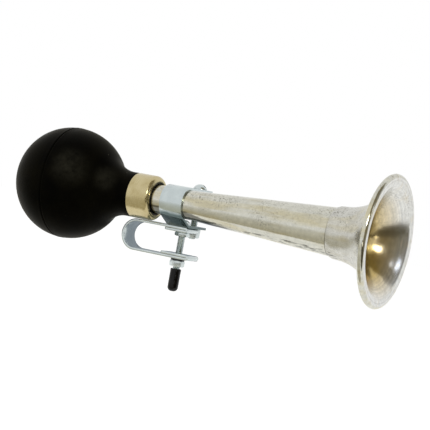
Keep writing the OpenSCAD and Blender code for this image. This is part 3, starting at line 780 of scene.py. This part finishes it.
def make_clip():
    """The bar clip: one strip, folded back at both ends, whose folds leave a fine seam between layers."""
    layer = CLIP_WALL / 2
    arm = BAR_R + layer
    hem = BAR_R - layer
    hem_end = BOLT.x - HEM_BACK
    upper_fold = BOLT.x + UPPER_EAR - CLIP_WALL
    lower_fold = BOLT.x + LOWER_EAR - CLIP_WALL
    section = [(hem_end, hem)]
    section += arc((upper_fold, BAR_R), layer, -90, 90, steps=8)
    section += arc((0, 0), arm, 90, 270, steps=56)
    section += arc((lower_fold, -BAR_R), layer, -90, 90, steps=8)
    section += [(hem_end, -hem)]
    line = [Vector((x, 0, z)) for x, z in section]
    clip = make_strip("clip_strip", line, CLIP_WIDTH, ALONG_BAR, CLIP_WALL - FOLD_SEAM, CLIP_CORNER_R)
    drill(clip, BOLT, SCREW_R + HOLE_GAP, -BAR_R - 2 * CLIP_WALL, BAR_R + 2 * CLIP_WALL)
    soften_edges(clip, CLIP_EDGE)
    finish_piece(clip, ZINC, "clip", "bar_clip")


def make_screw(name, node_name, axis, body):
    """A slotted round-head screw with its thread, from the level of its CAD node's head down to its end."""
    end, head_top = levels(node_name)
    seat = head_top - HEAD_HEIGHT
    rim = 0.12
    rim_in = 0.1
    seat_in = 0.25
    tip = 0.35
    dome_r = (HEAD_R ** 2 + HEAD_HEIGHT ** 2) / (2 * HEAD_HEIGHT)
    dome_low = math.degrees(math.acos((HEAD_R - rim) / dome_r))
    profile = arc((0, seat + HEAD_HEIGHT - dome_r), dome_r, 90, dome_low, steps=16)
    profile += [(HEAD_R - rim_in, seat + rim), (HEAD_R - seat_in, seat), (THREAD_ROOT_R, seat)]
    profile += [(THREAD_ROOT_R, end + tip), (THREAD_ROOT_R - tip, end), (0, end)]
    screw = spin_round(name, axis, UPRIGHT, profile, SMALL_SPIN_STEPS)
    bpy.ops.object.select_all(action="DESELECT")
    bpy.ops.mesh.primitive_cube_add(size=1, location=(axis + UPRIGHT * (seat + HEAD_HEIGHT)) * MM,
                                    scale=Vector((3 * HEAD_R, SLOT_WIDTH, HEAD_HEIGHT)) * MM)
    combine(screw, bpy.context.object, "DIFFERENCE")
    soften_edges(screw, SCREW_EDGE)
    # One turn of thread is a closed triangle, sunk a little into the shank; the Screw modifier winds it up
    sunk = 0.05
    tooth_share = 0.46
    run_out = 0.5
    root = THREAD_ROOT_R - sunk
    rise = THREAD_PITCH * tooth_share
    tooth = [(root, -rise), (SCREW_R, 0), (root, rise), (root, -rise)]
    start = end + run_out
    thread = draw_line(name + "_thread", [axis + Vector((r, 0, start + z)) for r, z in tooth])
    bpy.ops.mesh.remove_doubles(threshold=DOUBLES * MM)
    bpy.ops.object.mode_set(mode="OBJECT")
    pick_only(thread)
    bpy.context.scene.cursor.location = (axis + UPRIGHT * start) * MM
    bpy.ops.object.origin_set(type="ORIGIN_CURSOR")
    turns = int((seat - start) / THREAD_PITCH)
    apply_modifier(thread, "SCREW", axis="Z", screw_offset=THREAD_PITCH * MM, iterations=turns,
                   steps=THREAD_STEPS, render_steps=THREAD_STEPS)
    bpy.ops.object.mode_set(mode="EDIT")
    bpy.ops.mesh.select_all(action="SELECT")
    bpy.ops.mesh.fill_holes(sides=4)
    bpy.ops.mesh.normals_make_consistent(inside=False)
    bpy.ops.object.mode_set(mode="OBJECT")
    pick_only(screw)
    thread.select_set(True)
    bpy.ops.object.join()
    finish_piece(screw, ZINC, body, node_name)


def make_nut(name, node_name, axis, body):
    """A hexagon nut: a six-sided bar, turned down to a chamfer on both faces and drilled."""
    bottom, top = levels(node_name)
    corner_r = NUT_WIDTH / 2 / math.cos(math.pi / 6)
    bpy.ops.object.select_all(action="DESELECT")
    bpy.ops.mesh.primitive_cylinder_add(vertices=6, radius=corner_r * MM, depth=(top - bottom) * MM,
                                        location=(axis + UPRIGHT * (bottom + top) / 2) * MM)
    nut = bpy.context.object
    nut.name = name
    # The turned shape stands just clear of the bar's corners and faces
    face_share = 0.98
    corner_room = 0.02
    face_room = 0.01
    face_r = NUT_WIDTH / 2 * face_share
    clear_r = corner_r + corner_room
    clear_bottom = bottom - face_room
    clear_top = top + face_room
    profile = [(0, clear_bottom), (face_r, clear_bottom), (clear_r, bottom + NUT_CHAMFER),
               (clear_r, top - NUT_CHAMFER), (face_r, clear_top), (0, clear_top)]
    turned = spin_round(name + "_turned", axis, UPRIGHT, profile, SMALL_SPIN_STEPS)
    combine(nut, turned, "INTERSECT")
    drill(nut, axis, SCREW_R + PRESS_GAP, bottom - DRILL_PAST, top + DRILL_PAST)
    soften_edges(nut, NUT_EDGE)
    finish_piece(nut, ZINC, body, node_name, smooth_angle=25)


def make_washer():
    """The split spring washer, of square wire."""
    bottom, top = levels("spring_washer")
    inner_r = SCREW_R + HOLE_GAP
    outer_r = inner_r + WASHER_WALL
    section = [(inner_r, bottom), (outer_r, bottom), (outer_r, top), (inner_r, top), (inner_r, bottom)]
    split = WASHER_SPLIT / outer_r
    washer = spin_round("spring_washer_wire", BOLT, UPRIGHT, section, SMALL_SPIN_STEPS, math.tau - split)
    soften_edges(washer, WASHER_EDGE)
    finish_piece(washer, SPRING_STEEL, "clip", "spring_washer")


def make_cap():
    """The dipped end cap: a round tip, a slight bead at its mouth and a bore for the bolt."""
    bottom, top = levels("end_cap")
    bore_r = SCREW_R + PRESS_GAP
    bore_edge = 0.15
    mouth_round = 0.3
    tip_in = 0.08
    # Below the bead the wall is drawn in by a hair: (drawn in, level)
    wall = [(0.05, bottom + 5), (0.04, top - 1.6), (0, top - 0.9)]
    profile = [(0, bottom)]
    profile += arc((CAP_R - CAP_TIP_R - tip_in, bottom + CAP_TIP_R), CAP_TIP_R, -90, 0, steps=14)
    profile += [(CAP_R - drawn_in, level) for drawn_in, level in wall]
    profile += arc((CAP_R - mouth_round, top - mouth_round), mouth_round, 0, 90, steps=6)
    profile += [(bore_r + bore_edge, top), (bore_r, top - bore_edge)]
    profile += [(bore_r, top - CAP_GRIP), (0, top - CAP_GRIP)]
    cap = spin_round("cap_dipping", BOLT, UPRIGHT, profile, SMALL_SPIN_STEPS)
    finish_piece(cap, VINYL, "clip", "end_cap", smooth_angle=50)


def make_reed():
    """The reed's tongue: a strip, flat under its wedge and curled up beyond, that bends onto the shallot."""
    root = HORN.x - TUBE_TAIL - PLUG_FLANGE
    bend = root - WEDGE_LENGTH
    level = HORN.z + REED_FLAT + REED_WALL / 2
    mid_r = REED_CURL_R + REED_WALL / 2
    curl = math.degrees((REED_LENGTH - WEDGE_LENGTH) / REED_CURL_R)
    section = [(root, level)] + arc((bend, level + mid_r), mid_r, 270, 270 - curl, steps=28)
    line = [Vector((x, HORN.y, z)) for x, z in section]
    reed = make_strip("reed_strip", line, REED_WIDTH, ALONG_BAR, REED_WALL - REED_ROOM, REED_CORNER_R)
    finish_piece(reed, REED_BRASS, None, "reed_tongue")
    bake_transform(reed)


make_tube()
make_bell()
make_collar()
make_bulb()
make_strap()
make_clip()
make_screw("strap_screw_turned", "strap_screw", SCREW, "bracket")
make_screw("clip_bolt_turned", "clip_bolt", BOLT, "clip")
make_nut("strap_nut_hexagon", "strap_nut", SCREW, "bracket")
make_nut("lock_nut_hexagon", "lock_nut", BOLT, "clip")
make_nut("clip_nut_hexagon", "clip_nut", BOLT, "clip")
make_washer()
make_cap()
make_reed()

# The CAD nodes that stay as they are
for node_name, material in (("reed_plug", REED_BRASS), ("shallot", REED_BRASS), ("reed_wedge", REED_BRASS),
                            ("rim_wire", SPRING_STEEL)):
    for material_slot in nodes[node_name].material_slots:
        material_slot.material = material

# The studio: metres, strengths of light, and the level of the cards that lie flat
FLOOR_BELOW = 0.07
FLOOR_SIZE = 8
FLOOR_GLOW = 0.55
AMBIENT = 0.55
WHITE = (1, 1, 1, 1)
TABLE = -0.085


def either_ray(tree, kinds):
    """1 where a ray is of one of these kinds, and 0 for the rest."""
    rays = add_node(tree, "LightPath")
    seen = rays.outputs[kinds[0]]
    for kind in kinds[1:]:
        seen = add_node(tree, "Math", {0: seen, 1: rays.outputs[kind]}, operation="MAXIMUM")
    return seen


def make_floor():
    """A pale floor that the camera sees as white and that keeps the shadow; from below it is clear."""
    bpy.ops.object.select_all(action="DESELECT")
    bpy.ops.mesh.primitive_plane_add(size=FLOOR_SIZE, location=(0, 0, cad_bounds[0].z - FLOOR_BELOW))
    floor = bpy.context.object
    floor.name = "floor"
    material = bpy.data.materials.new("pale_paper_floor")
    material.use_nodes = True
    tree = material.node_tree
    shader = tree.nodes["Principled BSDF"]
    seen = either_ray(tree, ("Is Camera Ray", "Is Glossy Ray"))
    lift = add_node(tree, "Math", {0: seen, 1: FLOOR_GLOW}, operation="MULTIPLY")
    set_inputs(tree, shader, {"Base Color": linear("#e8e8e6"), "Roughness": 0.9, "Emission Color": WHITE,
                              "Emission Strength": lift})
    clear = add_node(tree, "BsdfTransparent")
    behind = add_node(tree, "NewGeometry").outputs["Backfacing"]
    either = add_node(tree, "MixShader", {0: behind, 1: shader, 2: clear})
    set_inputs(tree, tree.nodes["Material Output"], {"Surface": either})
    floor.data.materials.append(material)


def make_card(name, corners, shade, end_shade=None, fade=1, glow=1):
    """A glowing card that only reflections see, which paints a room's light and shade into the metal; its
    shade may run to another.
    """
    bpy.ops.object.select_all(action="DESELECT")
    bpy.ops.mesh.primitive_plane_add(size=1, location=(0, 0, 0))
    card = bpy.context.object
    card.name = name
    for vertex, corner in zip(card.data.vertices, corners):
        vertex.co = corner
    material = bpy.data.materials.new(name + "_paper")
    material.use_nodes = True
    tree = material.node_tree
    across = add_node(tree, "SeparateXYZ", {"Vector": add_node(tree, "TexCoord").outputs["UV"]})
    share = add_node(tree, "Math", {0: across.outputs["Y"], 1: fade}, operation="POWER")
    colour = add_node(tree, "Mix", {"Factor": share, "A": linear(shade), "B": linear(end_shade or shade)},
                      data_type="RGBA")
    light = add_node(tree, "Emission", {"Color": colour, "Strength": glow})
    set_inputs(tree, tree.nodes["Material Output"], {"Surface": light})
    card.data.materials.append(material)
    card.visible_camera = False
    card.visible_diffuse = False
    card.visible_transmission = False
    card.visible_volume_scatter = False
    card.visible_shadow = False


def make_softbox(name, place, size, power):
    """A square softbox aimed at the horn's middle."""
    aim = CAMERA_AIM * MM
    bpy.ops.object.light_add(type="AREA", location=place)
    softbox = bpy.context.object
    softbox.name = name
    softbox.rotation_euler = (aim - Vector(place)).to_track_quat("-Z", "Y").to_euler()
    softbox.data.size = size
    softbox.data.energy = power
    softbox.visible_glossy = False


def make_world():
    """White where the camera, metal and glass see it, and a soft ambient light for the rest."""
    world = bpy.data.worlds.new("studio")
    bpy.context.scene.world = world
    world.use_nodes = True
    tree = world.node_tree
    seen = either_ray(tree, ("Is Camera Ray", "Is Glossy Ray", "Is Transmission Ray"))
    strength = add_node(tree, "MapRange", {"Value": seen, "To Min": AMBIENT, "To Max": 1})
    set_inputs(tree, tree.nodes["Background"], {"Color": WHITE, "Strength": strength})


bpy.context.scene.view_settings.view_transform = "Standard"
make_world()
make_floor()
make_softbox("key_softbox", (-0.55, -0.9, 0.95), size=1.7, power=8)

# The cards are painted reflections: dark ones for a dim room, pale ones for a table, bright ones for the
# highlights of a flash and two windows. Each card's four corners: two along its first edge, then two along
# the edge across from it
make_card("dark_floor", [(0.243, -0.078, TABLE), (0.4, -1.7, TABLE), (1.5, 0.8, TABLE), (1.8, -1.2, TABLE)],
          "#5c5644")
make_card("dark_wall", [(0.54, -0.54, -0.09), (0.54, -0.54, 1.1), (1.2, 0.9, -0.09), (1.2, 0.9, 1.1)],
          "#877a58", "#9a9b9c")
make_card("warm_ceiling", [(0.54, -0.54, 1.1), (1.1, 0.68, 1.1), (0.2, -0.2, 1.1), (0.62, 0.55, 1.1)],
          "#8d8466")
make_card("grey_back",
          [(-0.03, 0.03, -0.03), (0.026, 0.03, -0.03), (-0.03, 0.03, 0.03), (0.026, 0.03, 0.03)],
          "#9fa5ac")
make_card("table_cloth", [(-2, -2, TABLE), (0.4, -2, TABLE), (-2, -0.12, TABLE), (0.24, -0.12, TABLE)],
          "#ffffff", "#cfcbba", fade=4)
make_card("cloth_edge", [(-2, -0.12, TABLE), (0.2, -0.12, TABLE), (-2, -0.056, TABLE), (0.2, -0.056, TABLE)],
          "#cfcbba", "#c6c0aa")
# Glowing cards, no lamps: painted highlights of a flash, high and low, and of two windows
make_card("flash", [(0.36, -0.34, 0.15), (0.45, -0.25, 0.15), (0.36, -0.34, 0.26), (0.45, -0.25, 0.26)],
          "#fffdf4", glow=12)
make_card("low_flash",
          [(0.355, -0.385, -0.06), (0.385, -0.355, -0.06), (0.355, -0.385, -0.03), (0.385, -0.355, -0.03)],
          "#fffdf4", glow=7)
make_card("left_window", [(0.54, -0.01, 0.19), (0.54, 0.04, 0.19), (0.54, -0.01, 0.26), (0.54, 0.04, 0.26)],
          "#e4ecff", glow=2)
make_card("right_window",
          [(0.555, 0.08, 0.12), (0.555, 0.135, 0.12), (0.555, 0.08, 0.19), (0.555, 0.135, 0.19)],
          "#e4ecff", glow=4)
